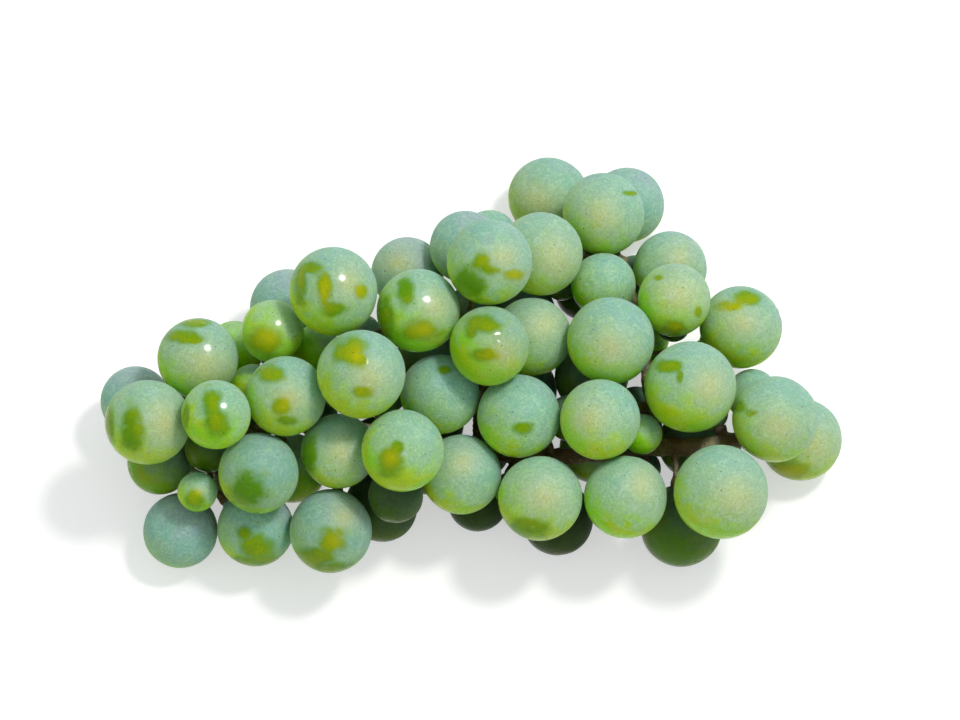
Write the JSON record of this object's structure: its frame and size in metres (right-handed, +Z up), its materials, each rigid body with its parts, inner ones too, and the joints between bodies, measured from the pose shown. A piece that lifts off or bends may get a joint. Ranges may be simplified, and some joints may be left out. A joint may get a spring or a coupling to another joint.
{
  "type": "bunch of grapes",
  "caption": "Loose bunch of round white grapes with a bloomy skin, lying on its side on a branching woody-green stem, with a shoulder that juts out to one side.",
  "frame": {"origin": "on the table, under the middle of the bunch's bounding box", "axes": "+X along the bunch towards the cut stalk, +Y across it towards the shoulder, +Z up"},
  "size_m": [0.1494, 0.0908, 0.05],
  "materials": {
    "skin": "thin green skin under a pale waxy bloom, glossy where the bloom is rubbed off",
    "stem": "matt green stem, browning towards the cut and the knots"
  },
  "bodies": {
    "root": {"rachis": "stem", "stalk_end_berry_1": "skin", "stalk_end_berry_2": "skin", "stalk_end_berry_3": "skin", "stalk_end_berry_4": "skin", "stalk_end_berry_5": "skin", "stalk_end_berry_6": "skin", "stalk_end_berry_7": "skin", "stalk_end_berry_8": "skin", "shoulder_berry_1": "skin", "shoulder_berry_2": "skin", "shoulder_berry_3": "skin", "shoulder_berry_4": "skin", "shoulder_berry_5": "skin", "shoulder_berry_6": "skin", "shoulder_berry_7": "skin", "shoulder_berry_8": "skin", "crown_berry_1": "skin", "crown_berry_2": "skin", "crown_berry_3": "skin", "crown_berry_4": "skin", "crown_berry_5": "skin", "crown_berry_6": "skin", "crown_berry_7": "skin", "crown_berry_8": "skin", "heart_berry_1": "skin", "heart_berry_2": "skin", "heart_berry_3": "skin", "heart_berry_4": "skin", "heart_berry_5": "skin", "heart_berry_6": "skin", "heart_berry_7": "skin", "heart_berry_8": "skin", "heart_berry_9": "skin", "flank_berry_1": "skin", "flank_berry_2": "skin", "flank_berry_3": "skin", "flank_berry_4": "skin", "flank_berry_5": "skin", "flank_berry_6": "skin", "flank_berry_7": "skin", "flank_berry_8": "skin", "tip_berry_1": "skin", "tip_berry_2": "skin", "tip_berry_3": "skin", "tip_berry_4": "skin", "tip_berry_5": "skin", "tip_berry_6": "skin", "tip_berry_7": "skin", "hem_berry_1": "skin", "hem_berry_2": "skin", "hem_berry_3": "skin", "hem_berry_4": "skin", "hem_berry_5": "skin", "hem_berry_6": "skin", "hem_berry_7": "skin", "hem_berry_8": "skin", "hem_berry_9": "skin", "hem_berry_10": "skin", "hem_berry_11": "skin"}
  },
  "joints": []
}
